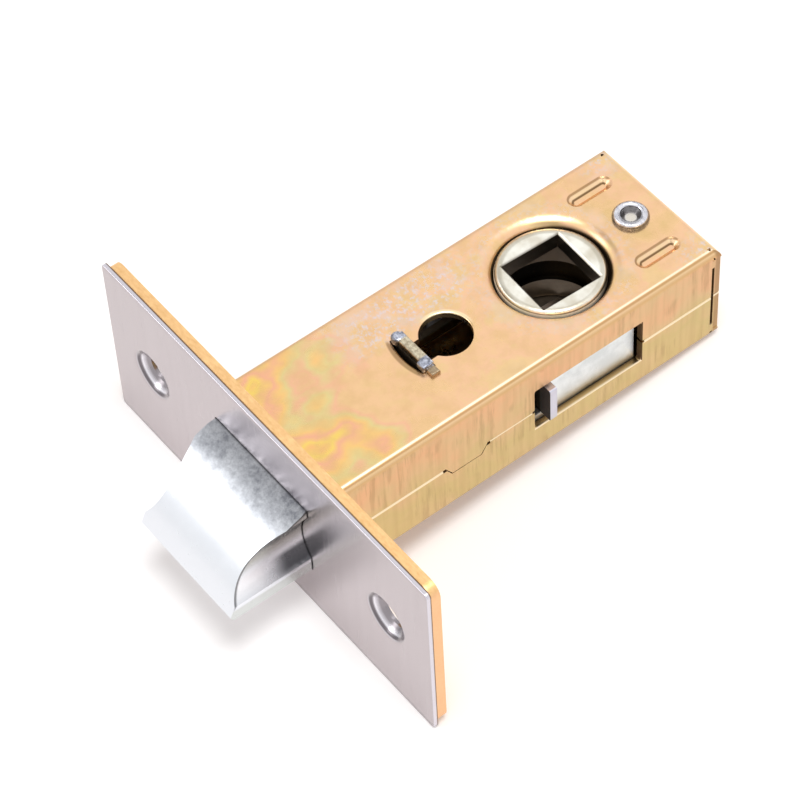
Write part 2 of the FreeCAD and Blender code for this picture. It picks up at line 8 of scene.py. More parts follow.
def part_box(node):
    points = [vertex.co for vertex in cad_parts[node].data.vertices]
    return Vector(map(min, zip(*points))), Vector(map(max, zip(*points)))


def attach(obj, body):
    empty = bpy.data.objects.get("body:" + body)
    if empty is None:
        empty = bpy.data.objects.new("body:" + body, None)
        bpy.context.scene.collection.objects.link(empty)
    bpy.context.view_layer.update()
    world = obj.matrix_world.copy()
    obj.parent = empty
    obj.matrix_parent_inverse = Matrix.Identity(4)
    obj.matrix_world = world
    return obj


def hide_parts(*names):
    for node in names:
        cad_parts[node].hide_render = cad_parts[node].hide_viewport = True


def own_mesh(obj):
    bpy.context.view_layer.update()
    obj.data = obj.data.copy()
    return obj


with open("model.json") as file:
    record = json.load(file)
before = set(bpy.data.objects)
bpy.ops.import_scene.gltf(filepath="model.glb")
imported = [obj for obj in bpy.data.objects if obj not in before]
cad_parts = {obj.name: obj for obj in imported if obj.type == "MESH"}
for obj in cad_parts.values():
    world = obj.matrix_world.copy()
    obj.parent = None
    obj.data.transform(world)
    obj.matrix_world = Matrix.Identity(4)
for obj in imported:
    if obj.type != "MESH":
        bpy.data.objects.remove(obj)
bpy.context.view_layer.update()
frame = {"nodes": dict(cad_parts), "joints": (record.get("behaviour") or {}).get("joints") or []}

# The camera: where it looks from, in degrees round the latch, its place in metres, and its lens
# and sensor in millimetres
AZIMUTH = 54.934
ELEVATION = 51.761
ROLL = -3.638
DISTANCE = 0.400146
TARGET = Vector((0.0, 0.035, 0.0))
SLIDE_RIGHT = 0.012469
SLIDE_UP = 0.007296
LENS = 155.54
SENSOR = 36.0

# The world's strength where it lights the object, and where the camera or a reflection sees it
WORLD_LIGHT = 0.42
WORLD_SEEN = 1.0

# The floor, in metres, touches the forend's lower edge and the rear rivet
FLOOR_FRONT = -0.01302
FLOOR_REAR = -0.00812
FLOOR_REAR_Y = 0.0535
FLOOR_HALF = 1.5
FLOOR_WHITE = (0.93, 0.93, 0.93, 1)
FLOOR_GLOW = (1.0, 0.9, 0.86, 1)
FLOOR_GLOW_STRENGTH = 0.26

# The share of a card's half size that is at full density
CARD_CORE = 0.55

# Sizes of the case that the finishes follow, in millimetres
SHEET = 0.85
HALF_WIDTH = 10.5
HALF_HEIGHT = 7.5
INNER_WIDTH = HALF_WIDTH - SHEET
INNER_HEIGHT = HALF_HEIGHT - SHEET
FOREND_BACK = 1.9
CASE_END = 58.3
SEAM_Z = -0.2
TAB_START = 17.6
NOTCH_END = 46.75
LIP_WIDTH = 0.9

# Holes and pressings in the case
BACKSET = 41.5
HUB_RIM = 8.4
COLLAR = 6.65
KEYHOLE_Y = 26.15
KEYHOLE_RIM = 3.575
SLOT_X = -0.2
SLOT_HALF = 3.05
SLOT_Y = 20.21
SLOT_BOW = 0.55
RIB_X = 6.1
RIB_Y = 52.4
RIB_HALF = 2.025
RIB_EDGE = 0.98
RIB_WALL = 0.68
RIB_FOOT = 0.4

# The rubbed place beside the keyhole: its middle and its half sizes
RUBBED_X = -6.3
RUBBED_Y = 25.0
RUBBED_HALF_X = 3.2
RUBBED_HALF_Y = 9.5

# The forend's cover: its screw holes, the reach of their dishes, and its rolled long edges
SCREW_X = 22.0
DISH = 4.75
EDGE_Z = 11.6
EDGE_WIDTH = 1.1

# The abutment's tongue along X: its bar lies between two swaged ends, and its foot comes last
BAR_START = -2.05
BAR_END = 1.55
TONGUE_FOOT = 3.0

# The rivet, the hub and the bolt
RIVET_Y = 53.5
RIVET_HOLE = 1.2
RIVET_HEAD = 2.225
HUB_TOP = 7.0
HUB_CORE = 6.0
HUB_EDGE = 5.7
HUB_EDGE_WIDTH = 0.9
BEVEL_Y = 4.123
BEVEL_Z = -11.2
BEVEL_R = 16.571
BEVEL_ROOT = 0.4
BEVEL_TIP = -11.0
BAND_Z = -2.6
GLEAM_Z = -2.4
FLANK_FOOT = -4.4

# Ways along X and Y in which a hole's far side or its lit side lies
REARWARD = (0.15, 0.99)
FAR_LEFT = (-0.77, 0.64)

# The bolt's spring: its wire in metres, its turns, those that are closed and those that open at
# each end, the pitch of a closed turn in wires, and the steps of its mesh
SPRING_WIRE = 0.0009
SPRING_TURNS = 8
CLOSED_TURNS = 0.7
OPENING_TURNS = 0.6
CLOSED_PITCH = 1.06
TURN_STEPS = 28
WIRE_SIDES = 10


def srgb(r, g, b):
    """A colour written as it looks on a screen, 0 to 255, as the shader's linear colour."""
    def one(v):
        v /= 255
        return v / 12.92 if v <= 0.04045 else ((v + 0.055) / 1.055) ** 2.4
    return (one(r), one(g), one(b), 1.0)


class Val:
    """A shader socket that takes part in Python expressions."""

    def __init__(self, nodes, socket):
        self.nodes = nodes
        self.socket = socket

    def math(self, operation, *values):
        return self.nodes.node("ShaderNodeMath", {"operation": operation}, dict(enumerate(values)))

    def __add__(self, other):
        return self.math("ADD", self, other)

    def __sub__(self, other):
        return self.math("SUBTRACT", self, other)

    def __rsub__(self, other):
        return self.math("SUBTRACT", other, self)

    def __mul__(self, other):
        return self.math("MULTIPLY", self, other)

    def __truediv__(self, other):
        return self.math("DIVIDE", self, other)

    def __pow__(self, other):
        return self.math("POWER", self, other)

    __radd__ = __add__
    __rmul__ = __mul__

    def abs(self):
        return self.math("ABSOLUTE", self)

    def least(self, other):
        return self.math("MINIMUM", self, other)

    def most(self, other):
        return self.math("MAXIMUM", self, other)

    def ramp(self, low, high, start=0.0, end=1.0):
        """Goes smoothly from start to end as the value goes from low to high."""
        if low > high:
            low, high, start, end = high, low, end, start
        return self.nodes.node(
            "ShaderNodeMapRange",
            {"interpolation_type": "SMOOTHSTEP"},
            {"Value": self, "From Min": low, "From Max": high, "To Min": start, "To Max": end},
        )


class Nodes:
    """The nodes of a material or of the world."""

    def __init__(self, tree):
        self.tree = tree

    def feed(self, socket, value):
        """Links a value to the socket, or writes a plain number or colour in it."""
        if isinstance(value, Val):
            self.tree.links.new(value.socket, socket)
        else:
            socket.default_value = value

    def node(self, kind, settings=None, inputs=None, out=0):
        """Adds a node of this kind, its settings first, and gives the output that out names."""
        made = self.tree.nodes.new(kind)
        for key, value in (settings or {}).items():
            if key == "stops":
                self.set_stops(made.color_ramp.elements, value)
            else:
                setattr(made, key, value)
        for key, value in (inputs or {}).items():
            self.feed(made.inputs[key], value)
        return Val(self, made.outputs[out])

    def set_stops(self, elements, stops):
        while len(elements) < len(stops):
            elements.new(0.5)
        for element, (at, colour) in zip(elements, stops):
            element.position = at
            element.color = colour

    def split(self, vector):
        made = self.tree.nodes.new("ShaderNodeSeparateXYZ")
        self.feed(made.inputs[0], vector)
        return [Val(self, output) for output in made.outputs]

    def vector_math(self, operation, a, b):
        return self.node("ShaderNodeVectorMath", {"operation": operation}, {0: a, 1: b})

    def mix(self, a, b, amount):
        """Colour a, turning to colour b as the amount goes from 0 to 1."""
        return self.node("ShaderNodeMix", {"data_type": "RGBA"}, {0: amount, 6: a, 7: b}, out=2)


class Look(Nodes):
    """A metal finish in the making. Lengths in it are millimetres on the object."""

    def __init__(self, name):
        self.material = bpy.data.materials.new(name)
        self.material.use_nodes = True
        super().__init__(self.material.node_tree)
        self.shader = self.tree.nodes["Principled BSDF"]
        self.shader.inputs["Specular IOR Level"].default_value = 0.0
        place = self.node("ShaderNodeTexCoord", out="Object")
        self.place = self.node("ShaderNodeVectorMath", {"operation": "SCALE"}, {0: place, "Scale": 1000.0})
        self.x, self.y, self.z = self.split(self.place)
        self.nx, self.ny, self.nz = self.split(self.node("ShaderNodeNewGeometry", out="Normal"))
        self.colour = None

    def noise(self, size, detail=2.0, stretch=(1, 1, 1), roughness=0.5, shift=0.0):
        """Noise from 0 to 1 whose blotches are about size millimetres across."""
        at = self.vector_math("MULTIPLY", self.place, Vector([1 / (size * s) for s in stretch]))
        at = self.vector_math("ADD", at, Vector((shift, shift * 0.7, -shift)))
        inputs = {"Vector": at, "Scale": 1.0, "Detail": detail, "Roughness": roughness}
        return self.node("ShaderNodeTexNoise", None, inputs)

    def radius(self, x, y):
        """Distance from an axis along Z through x, y."""
        return ((self.x - x) ** 2.0 + (self.y - y) ** 2.0) ** 0.5

    def toward(self, x, y, way):
        """How far a place lies along way from the axis through x, y, as a share from -1 to 1."""
        return ((self.x - x) * way[0] + (self.y - y) * way[1]) / self.radius(x, y)

    def colours(self, value, stops):
        return self.node("ShaderNodeValToRGB", {"stops": stops}, {"Fac": value}, out="Color")

    def paint(self, colour, amount):
        """Lays a colour over the finish where the amount, from 0 to 1, says."""
        self.colour = self.mix(self.colour, colour, amount)

    def bump(self, height, depth):
        """Height from 0 to 1 raises the surface by depth millimetres."""
        inputs = {"Height": height, "Strength": 1.0, "Distance": depth / 1000}
        return self.node("ShaderNodeBump", None, inputs, out="Normal")

    def finish(self, roughness, normal=None, metallic=1.0):
        """Feeds the shader and gives the material."""
        self.feed(self.shader.inputs["Base Color"], self.colour)
        self.feed(self.shader.inputs["Roughness"], roughness)
        self.feed(self.shader.inputs["Metallic"], metallic)
        if normal is not None:
            self.feed(self.shader.inputs["Normal"], normal)
        return self.material


def plate_flats(look, cloud, flat):
    """Peach gold clouds, rainbow patches that fade towards the rear, and pale brown stains."""
    look.colour = look.colours(cloud, [
        (0.32, srgb(232, 198, 140)),
        (0.42, srgb(248, 206, 158)),
        (0.5, srgb(250, 202, 166)),
        (0.58, srgb(244, 210, 156)),
        (0.7, srgb(234, 204, 158)),
    ])
    film = look.noise(5.2, 2.5, stretch=(1, 1.4, 1), shift=3.1) * 1.3 + look.y * 0.04 - 0.35
    rainbow = look.colours(film, [
        (0.1, srgb(250, 206, 124)),
        (0.25, srgb(252, 194, 126)),
        (0.36, srgb(254, 220, 112)),
        (0.47, srgb(249, 184, 150)),
        (0.57, srgb(252, 206, 130)),
        (0.68, srgb(232, 214, 150)),
        (0.78, srgb(248, 192, 156)),
        (0.86, srgb(246, 204, 154)),
    ])
    look.paint(rainbow, look.y.ramp(9.0, 26.0, 0.9, 0.3) * flat)
    stain = look.noise(2.4, 5.0, roughness=0.65, shift=15.0).ramp(0.35, 0.7)
    look.paint(srgb(222, 184, 128), stain * 0.4)


def plate_flanks(look, streak, side):
    """The case's long sides, in painted shade: darker than the flats, deeper and greener towards the
    floor, with brown upright streaks.
    """
    # Painted shade: the sides take a darker copy of the plating's colour, deepest towards the floor
    low = look.z.ramp(4.0, -5.0)
    flank = look.colours(look.noise(4.5, 3.0, shift=6.0) * 0.7 + low * 0.3, [
        (0.22, srgb(226, 176, 134)),
        (0.42, srgb(216, 182, 136)),
        (0.6, srgb(204, 182, 126)),
        (0.8, srgb(212, 184, 136)),
    ])
    look.paint(flank, side)
    patch = look.noise(5.0, 2.0, shift=9.4).ramp(0.42, 0.56)
    look.paint(srgb(150, 116, 76), streak.ramp(0.47, 0.62) * patch * side * 0.3)
    faint = look.noise(0.8, 3.0, stretch=(1, 1, 20), shift=21.0).ramp(0.4, 0.65)
    look.paint(srgb(176, 144, 96), faint * side * 0.2)


def scuff_plating(look, hub, flat):
    """Pale scuffs round the hub hole, beside the keyhole and at the rear corners."""
    ring = (hub - HUB_RIM).abs().ramp(2.6, 0.4)
    across = (look.x - RUBBED_X).abs() / RUBBED_HALF_X
    along = (look.y - RUBBED_Y).abs() / RUBBED_HALF_Y
    beside = across.most(along).ramp(1.25, 0.6)
    corner = (look.y - CASE_END).abs().ramp(7.0, 1.0) * look.x.abs().ramp(5.0, 9.0)
    worn = (ring * 0.4).most(beside * 0.85).most(corner * 0.9) * flat
    fine = look.noise(0.7, 6.0, roughness=0.75, shift=7.7).ramp(0.48, 0.6) * worn
    haze = look.noise(3.2, 4.0, shift=12.0).ramp(0.5, 0.62) * worn
    scuff = fine.most(haze * 0.45)
    look.paint(srgb(218, 214, 226), scuff * 0.75)
    return scuff


def paint_bend_highlight_and_shade(look):
    """Painted light on the bends: the near bend has a painted highlight line between two painted dark
    ones, and the other bends and the rear end are painted in shade.
    """
    bend = look.nx.abs().ramp(0.08, 0.2) * look.nz.abs().ramp(0.15, 0.4)
    # Painted highlight and painted shade across the near bend, set by how far each face turns
    turn = look.colours(look.nx.abs(), [
        (0.1, srgb(232, 194, 148)),
        (0.2, srgb(255, 240, 214)),
        (0.34, srgb(255, 238, 208)),
        (0.47, srgb(204, 160, 110)),
        (0.58, srgb(192, 148, 98)),
        (0.72, srgb(240, 204, 158)),
        (0.9, srgb(214, 174, 124)),
    ])
    near = look.z.ramp(-1.0, 1.0) * look.x.ramp(HALF_WIDTH - 1.9, HALF_WIDTH - 1.3)
    look.paint(turn, bend * near * 0.85)
    # Painted shade on the far bend, on the bend at the foot and at the rear end
    far = look.x.ramp(1.1 - HALF_WIDTH, 0.2 - HALF_WIDTH) * look.nz.ramp(0.1, 0.5)
    look.paint(srgb(176, 134, 92), far * 0.75)
    foot = look.z.ramp(1.3 - HALF_HEIGHT, 0.2 - HALF_HEIGHT) * look.nz.ramp(0.2, -0.2)
    look.paint(srgb(160, 124, 82), foot * 0.7)
    back = look.y.ramp(CASE_END - 1.0, CASE_END - 0.5) * look.nx.ramp(0.2, 0.5)
    look.paint(srgb(164, 126, 88), back * 0.75)


def paint_rib_shade_and_highlight(look, on_top):
    """The pressed ribs: a painted dark outline as shade, a painted highlight on the pale far wall and
    painted shade in the dark crease at its foot.
    """
    across = look.x.abs() - RIB_X
    along = ((look.y - RIB_Y).abs() - RIB_HALF).most(0.0)
    rib = (across ** 2.0 + along ** 2.0) ** 0.5
    far_side = look.x.ramp(-0.1, 0.1) * across.ramp(0.15, -0.15)
    far_side = far_side.most(look.x.ramp(0.1, -0.1) * across.ramp(-0.15, 0.15))
    outline = (rib - RIB_EDGE).abs().ramp(0.22, 0.06) * (0.25 + far_side * 0.75)
    wall = (rib - RIB_WALL).abs().ramp(0.26, 0.12) * far_side
    crease = (rib - RIB_FOOT).abs().ramp(0.2, 0.05) * far_side
    # Painted shade on the outline and the crease, and a painted highlight on the far wall
    look.paint(srgb(140, 104, 64), outline * on_top * 0.7)
    look.paint(srgb(250, 226, 184), wall * on_top * 0.5)
    look.paint(srgb(98, 70, 38), crease * on_top * 0.85)


def shade_holes(look, hub, on_top):
    """Painted shade: the hub's drawn rim is painted dark on its rear side, and the slot's front edge is
    painted darker where it rolls out of the light.
    """
    # Painted shade on the rear side of the hub's drawn rim
    depth = hub.ramp(7.35, 6.85) * look.toward(0.0, BACKSET, REARWARD).ramp(0.1, 0.75)
    look.paint(srgb(52, 38, 20), depth * on_top * 0.95)
    # Painted shade on the slot's front edge where it rolls over
    across = (look.x - SLOT_X) / SLOT_HALF
    lip = SLOT_Y - (1.0 - across * across) * SLOT_BOW
    roll = (look.y - lip).ramp(-0.32, -0.05) * (look.y - SLOT_Y).ramp(0.3, 0.0)
    look.paint(srgb(120, 88, 54), roll * across.abs().ramp(1.15, 0.9) * on_top * 0.6)


def paint_edge_highlights_and_shade(look, side, on_top):
    """Painted highlights on edges: a glint on the keyhole's rolled rim, a bright line on the seam's lower
    lip, and across the lips of the windows painted shade that turns to a highlight.
    """
    # Painted highlight: a glint on the far side of the keyhole's rim
    rim = look.radius(0.0, KEYHOLE_Y).ramp(KEYHOLE_RIM + 0.125, KEYHOLE_RIM - 0.125)
    glint = rim * look.toward(0.0, KEYHOLE_Y, FAR_LEFT).ramp(0.4, 0.85)
    look.paint(srgb(255, 238, 196), glint * on_top * 0.9)
    # Painted highlight along the seam's lower lip
    closed = look.y.ramp(TAB_START, TAB_START - 0.4).most(look.y.ramp(NOTCH_END - 0.15, NOTCH_END + 0.15))
    seam = (look.z - SEAM_Z).abs().ramp(0.28, 0.1) * side * closed
    look.paint(srgb(255, 240, 208), seam * 0.8)
    # Painted shade at the inner edge of the window lips, turning to a painted highlight at the outer one
    lip = look.colours((look.x.abs() - INNER_WIDTH) / LIP_WIDTH, [
        (0.05, srgb(84, 64, 36)),
        (0.3, srgb(160, 128, 80)),
        (0.6, srgb(206, 168, 112)),
        (0.85, srgb(255, 240, 206)),
    ])
    ledge = look.nz.ramp(0.5, 0.8) * look.x.abs().ramp(INNER_WIDTH - 0.1, INNER_WIDTH)
    look.paint(lip, ledge * look.z.ramp(0.5, 0.0) * 0.9)


def paint_cut_shade(look):
    """Painted shade on the cut faces at the rear of the windows, which the camera sees unlit."""
    cut = look.ny.ramp(-0.4, -0.7) * look.x.abs().ramp(INNER_WIDTH - 0.1, INNER_WIDTH)
    cut = cut * look.y.ramp(40.0, 41.0)
    # Painted shade
    look.paint(srgb(58, 42, 26), cut * 0.9)
    return cut


def paint_inside_shade(look):
    """Painted shade on everything inside the case, short of the forend and of the rear wall's outer face.
    """
    inside = look.x.abs().ramp(INNER_WIDTH, INNER_WIDTH - 0.1)
    inside = inside * look.z.abs().ramp(INNER_HEIGHT, INNER_HEIGHT - 0.1)
    inside = inside * look.y.ramp(FOREND_BACK + 0.1, FOREND_BACK + 0.5)
    inside = inside * look.y.ramp(CASE_END - 0.3, CASE_END - 0.5)
    # Painted shade inside the case
    look.paint(srgb(30, 22, 14), inside * 0.95)
    return inside


def yellow_zinc():
    """Steel with a yellow zinc plate: peach gold, with rainbow patches and pale scuffs, and painted
    highlights and shade on its bends, ribs, holes, edges, cuts and inside.
    """
    look = Look("yellow_zinc")
    side = look.nx.abs().ramp(0.75, 0.95)
    flat = look.nz.abs().ramp(0.8, 0.97)
    on_top = look.z.ramp(HALF_HEIGHT - 1.5, HALF_HEIGHT - 1.0)
    hub = look.radius(0.0, BACKSET)
    rim = hub.ramp(HUB_RIM - 0.1, HUB_RIM - 0.5) * hub.ramp(COLLAR - 0.05, COLLAR + 0.05) * on_top
    cloud = look.noise(7.0, 4.0, roughness=0.6)
    streak = look.noise(0.5, 4.0, stretch=(1, 1, 14), roughness=0.65, shift=1.3)
    grain = look.noise(0.35, 4.0, roughness=0.6)

    plate_flats(look, cloud, flat)
    plate_flanks(look, streak, side)
    scuff = scuff_plating(look, hub, flat)
    paint_bend_highlight_and_shade(look)
    paint_rib_shade_and_highlight(look, on_top)
    shade_holes(look, hub, on_top)
    paint_edge_highlights_and_shade(look, side, on_top)
    cut = paint_cut_shade(look)
    inside = paint_inside_shade(look)

    rough = 0.24 + cloud * 0.08 + scuff * 0.15 + side * streak * 0.14 + inside * 0.3 + rim * 0.04
    height = look.noise(1.6, 3.0) * 0.7 + grain * 0.25 + streak * side * 0.8
    # Where shade is painted inside and on the cuts, the metal is made matt so it shows no reflections
    dark = (inside * 0.85).most(cut * 0.9)
    return look.finish(rough, look.bump(height, 0.007), 1.0 - dark)


def plate_zinc():
    """The forend plate: the same plating on blanked edges, grainy and a little deeper in colour."""
    look = Look("plate_zinc")
    grain = look.noise(0.35, 4.0, stretch=(2.5, 1, 1), roughness=0.7)
    wide = look.noise(3.0, 2.0, shift=2.0)
    look.colour = look.colours(grain * 0.7 + wide * 0.3, [
        (0.35, srgb(232, 186, 126)),
        (0.5, srgb(242, 198, 142)),
        (0.65, srgb(248, 210, 152)),
    ])
    end = look.nx.abs().ramp(0.7, 0.95)
    look.paint(srgb(240, 190, 150), end * 0.6)
    return look.finish(0.36 + grain * 0.15, look.bump(grain, 0.02))


def satin_steel():
    """Brushed sheet: fine lines across the forend, painted highlight and shade on the cover's edges, and
    dished holes painted with light and dark rings on their lit side.
    """
    look = Look("satin_steel")
    lines = look.noise(0.12, 3.0, stretch=(1, 1, 60))
    wide = look.noise(0.9, 2.0, stretch=(1, 1, 20), shift=4.0)
    look.colour = look.mix(srgb(178, 168, 170), srgb(194, 185, 187), lines * 0.5 + wide * 0.5)
    turned = look.ny.ramp(-0.97, -0.85)
    from_screw = ((look.x.abs() - SCREW_X) ** 2.0 + look.z ** 2.0) ** 0.5
    dished = from_screw.ramp(DISH + 0.25, DISH - 0.25)
    # Painted highlight on the front of the cover's edges, turning to painted shade towards the plate
    edge = look.mix(srgb(214, 210, 218), srgb(120, 96, 76), look.y.ramp(0.36, 0.5))
    look.paint(edge, turned * (1.0 - dished))
    # Painted light and shade in rings on the side of each dish that faces the light
    rings = look.colours(look.y / 2.0, [
        (0.02, srgb(228, 223, 228)),
        (0.1, srgb(112, 106, 110)),
        (0.2, srgb(124, 118, 122)),
        (0.28, srgb(232, 229, 235)),
        (0.36, srgb(206, 202, 208)),
        (0.5, srgb(150, 144, 148)),
    ])
    lit = (look.nx * 0.6 + look.nz * 0.8).ramp(0.0, 0.35)
    look.paint(look.mix(srgb(176, 169, 171), rings, lit), turned * dished)
    fall = ((look.z.abs() - EDGE_Z) / EDGE_WIDTH).most(0.0).least(1.0)
    return look.finish(0.24 + lines * 0.05, look.bump(1.0 - fall * fall + lines * 0.025, 0.12))


def bright_zinc():
    """Bright zinc plate, slightly cloudy, with painted shade on the faces turned to the inside of the case
    and to the front, where it is also matt.
    """
    look = Look("bright_zinc")
    cloud = look.noise(2.2, 4.0, roughness=0.6)
    speck = look.noise(0.3, 4.0, roughness=0.8, shift=3.0).ramp(0.6, 0.72)
    look.colour = look.mix(srgb(210, 216, 219), srgb(230, 235, 238), cloud.ramp(0.3, 0.7))
    look.paint(srgb(128, 122, 112), speck * 0.3)
    # Painted shade on the faces turned to the inside of the case
    inner_shade = look.x.abs().ramp(INNER_WIDTH - 0.15, INNER_WIDTH - 0.3)
    inner_shade = inner_shade * look.z.abs().ramp(HALF_HEIGHT - 0.4, HALF_HEIGHT - 0.9)
    look.paint(srgb(62, 56, 50), inner_shade * 0.85)
    lug = look.x.abs().ramp(INNER_WIDTH + 0.05, INNER_WIDTH + 0.25)
    look.paint(srgb(200, 197, 212), lug * 0.8)
    # Painted shade on the faces turned to the front
    front = look.ny.ramp(-0.3, -0.7)
    look.paint(srgb(44, 38, 28), front * 0.92)
    low = look.z.ramp(-0.6, -3.6) * look.nx.abs().ramp(0.8, 0.95)
    look.paint(srgb(196, 198, 190), low * 0.5)
    # The painted shade is matt
    dull = (front * 0.85).most(inner_shade * 0.5)
    return look.finish(0.3 + cloud * 0.15, look.bump(look.noise(0.5, 3.0), 0.01), 1.0 - dull)


def tongue_zinc():
    """The abutment: bronze where the plating is rubbed, blue grey where it was swaged over, with painted
    shade on its front faces and inside the case.
    """
    look = Look("tongue_zinc")
    grain = look.noise(0.5, 5.0, roughness=0.7)
    mottle = grain.ramp(0.35, 0.65)
    bronze = look.mix(srgb(172, 158, 134), srgb(222, 212, 186), mottle)
    grey = look.mix(srgb(120, 124, 138), srgb(204, 208, 222), mottle)
    foot = look.x.ramp(TONGUE_FOOT - 0.1, TONGUE_FOOT + 0.1)
    swaged = look.x.ramp(BAR_END - 0.15, BAR_END + 0.15) * (1.0 - foot)
    swaged = swaged.most(look.x.ramp(BAR_START + 0.15, BAR_START - 0.15))
    look.colour = look.mix(bronze, grey, swaged)
    # Painted shade on the faces turned to the front
    look.paint(srgb(92, 84, 74), look.ny.ramp(-0.2, -0.6) * 0.6)
    look.paint(srgb(150, 124, 94), foot * 0.7)
    # Painted shade on the parts inside the case
    inner_shade = look.z.abs().ramp(HALF_HEIGHT, HALF_HEIGHT - 0.5)
    look.paint(srgb(48, 38, 28), inner_shade * 0.9)
    return look.finish(0.26 + grain * 0.2, look.bump(grain, 0.05), 1.0 - inner_shade * 0.8)


def rivet_zinc():
    """The peened rivet: a round bright ring, lightly pitted, with a dimple in its middle; painted shade
    round the dimple and at the head's outer edge.
    """
    look = Look("rivet_zinc")
    grain = look.noise(0.6, 4.0, roughness=0.7)
    look.colour = look.mix(srgb(192, 192, 202), srgb(234, 234, 241), grain.ramp(0.36, 0.62))
    out = look.radius(0.0, RIVET_Y)
    look.paint(srgb(228, 222, 212), out.ramp(0.9, 0.5))
    # Painted shade round the dimple and at the head's outer edge
    look.paint(srgb(86, 80, 76), out.ramp(1.3, 1.15) * out.ramp(0.6, 0.8) * 0.8)
    look.paint(srgb(96, 90, 92), out.ramp(2.0, 2.2) * 0.7)
    half = (RIVET_HEAD - RIVET_HOLE) / 2
    away = ((out - RIVET_HOLE - half).abs() / (half * 1.08)).least(1.0)
    crown = 1.0 - away * away
    return look.finish(0.2 + grain * 0.12, look.bump(crown + grain * 0.08, 0.42))


def bolt_casting():
    """The plated casting: bright, with a dull mottle on the bevel near the forend that is also painted
    dark as a reflection, and painted reflections and shade on its near flank and edges.
    """
    look = Look("bolt_casting")
    spots = look.noise(0.9, 7.0, roughness=0.75)
    cloud = look.noise(3.6, 3.0, shift=2.2)
    look.colour = look.mix(srgb(238, 240, 245), srgb(224, 228, 234), cloud)

    # The bevel: dull at its root, its mottle painted dark as a reflection too, pitted in the middle and
    # pale at the tip
    up = look.nz.ramp(0.3, 0.7)
    root = look.y.ramp(BEVEL_ROOT - 7.8, BEVEL_ROOT)
    dull = (root * (0.8 + (spots - 0.5) * 2.6 + (cloud - 0.5) * 1.5)).most(0.0).least(1.0) * up
    look.paint(srgb(66, 68, 80), dull * 0.78)
    pits = look.noise(0.35, 5.0, roughness=0.8, shift=17.0).ramp(0.56, 0.7)
    look.paint(srgb(120, 122, 130), pits * up * look.y.ramp(-7.0, -3.0) * 0.4)
    tip = look.y.ramp(BEVEL_TIP + 2.4, BEVEL_TIP) * look.nx.ramp(0.5, 0.2)
    look.paint(srgb(226, 229, 234), tip * 0.7)

    # The near flank, painted as reflections: grey above, a dark band, a bright highlight towards the tip,
    # and a pale foot
    flank = look.nx.ramp(0.5, 0.85)
    look.paint(srgb(172, 170, 162), flank * look.z.ramp(-1.5, 0.5) * 0.85)
    dark_reflection_band = (look.z - BAND_Z).abs().ramp(1.6, 0.7) * look.y.ramp(-5.4, -2.6)
    look.paint(srgb(78, 80, 84), flank * dark_reflection_band * 0.9)
    gleam = (look.z - GLEAM_Z).abs().ramp(1.9, 0.6) * look.y.ramp(-5.0, -7.0)
    look.paint(srgb(250, 251, 255), flank * gleam)
    foot = look.z.ramp(FLANK_FOOT + 0.2, FLANK_FOOT - 0.2)
    look.paint(srgb(202, 206, 202), flank * foot * 0.8)

    # Painted shade: a dark line on the edge between the bevel and the flank, and on the line where the
    # bolt leaves the cover
    bow = BEVEL_R - ((look.y - BEVEL_Y) ** 2.0 + (look.z - BEVEL_Z) ** 2.0) ** 0.5
    arris_shade = bow.ramp(0.42, 0.12) * look.nx.ramp(0.6, 0.8) * look.z.ramp(FLANK_FOOT - 0.2, FLANK_FOOT + 0.8)
    look.paint(srgb(74, 75, 78), arris_shade * 0.8)
    look.paint(srgb(40, 40, 42), look.y.ramp(-0.25, 0.0) * 0.7)

    height = spots * 0.6 + look.noise(0.35, 3.0) * 0.3
    return look.finish(0.2 + spots * 0.12 + dull * 0.16, look.bump(height, 0.005))


def hub_casting():
    """Cream-white plated casting with a worn round edge, with painted shade down the square hole, in its
    groove and on the rear side of its rim.
    """
    look = Look("hub_casting")
    grain = look.noise(0.5, 4.0, roughness=0.6)
    cloud = look.noise(2.5, 3.0, shift=5.0)
    out = look.radius(0.0, BACKSET)
    look.colour = look.mix(srgb(250, 248, 238), srgb(220, 213, 196), cloud.ramp(0.35, 0.7))
    worn = out.ramp(5.5, 5.8) * out.ramp(6.3, 6.05)
    look.paint(srgb(176, 168, 148), worn * 0.5)
    # Painted shade down the square hole, darkest in the groove
    look.paint(srgb(84, 72, 60), look.z.abs().ramp(HUB_TOP, HUB_TOP - 0.3) * 0.9)
    groove_shade = out.ramp(HUB_CORE, HUB_CORE + 0.06) * look.z.abs().ramp(2.2, 1.9)
    look.paint(srgb(18, 14, 10), groove_shade * 0.95)
    # Painted shade on the rear side of the rim
    shade = out.ramp(6.2, 6.5) * look.toward(0.0, BACKSET, REARWARD).ramp(0.2, 0.8)
    look.paint(srgb(60, 48, 32), shade * 0.8)
    wall = out.ramp(6.5, 6.56) * look.z.abs().ramp(5.9, 6.15)
    look.paint(srgb(255, 252, 236), wall * (1.0 - shade))
    fall = ((out - HUB_EDGE) / HUB_EDGE_WIDTH).most(0.0).least(1.0)
    # The painted shade in the groove is matt, and so is the cream wall
    dull = (groove_shade * 0.9).most(wall * 0.95)
    return look.finish(0.28 + grain * 0.15, look.bump(1.0 - fall * fall + grain * 0.05, 0.4), 1.0 - dull)


def spring_wire():
    """Drawn wire, plain grey."""
    look = Look("spring_wire")
    fine = look.noise(0.4, 3.0)
    look.colour = look.mix(srgb(118, 116, 114), srgb(150, 148, 146), fine)
    return look.finish(0.35 + fine * 0.1)


def dress(finishes):
    """Gives each CAD node its finish."""
    for node, material in finishes.items():
        for slot in frame["nodes"][node].material_slots:
            slot.material = material


def add_object(name, data):
    made = bpy.data.objects.new(name, data)
    bpy.context.scene.collection.objects.link(made)
    return made


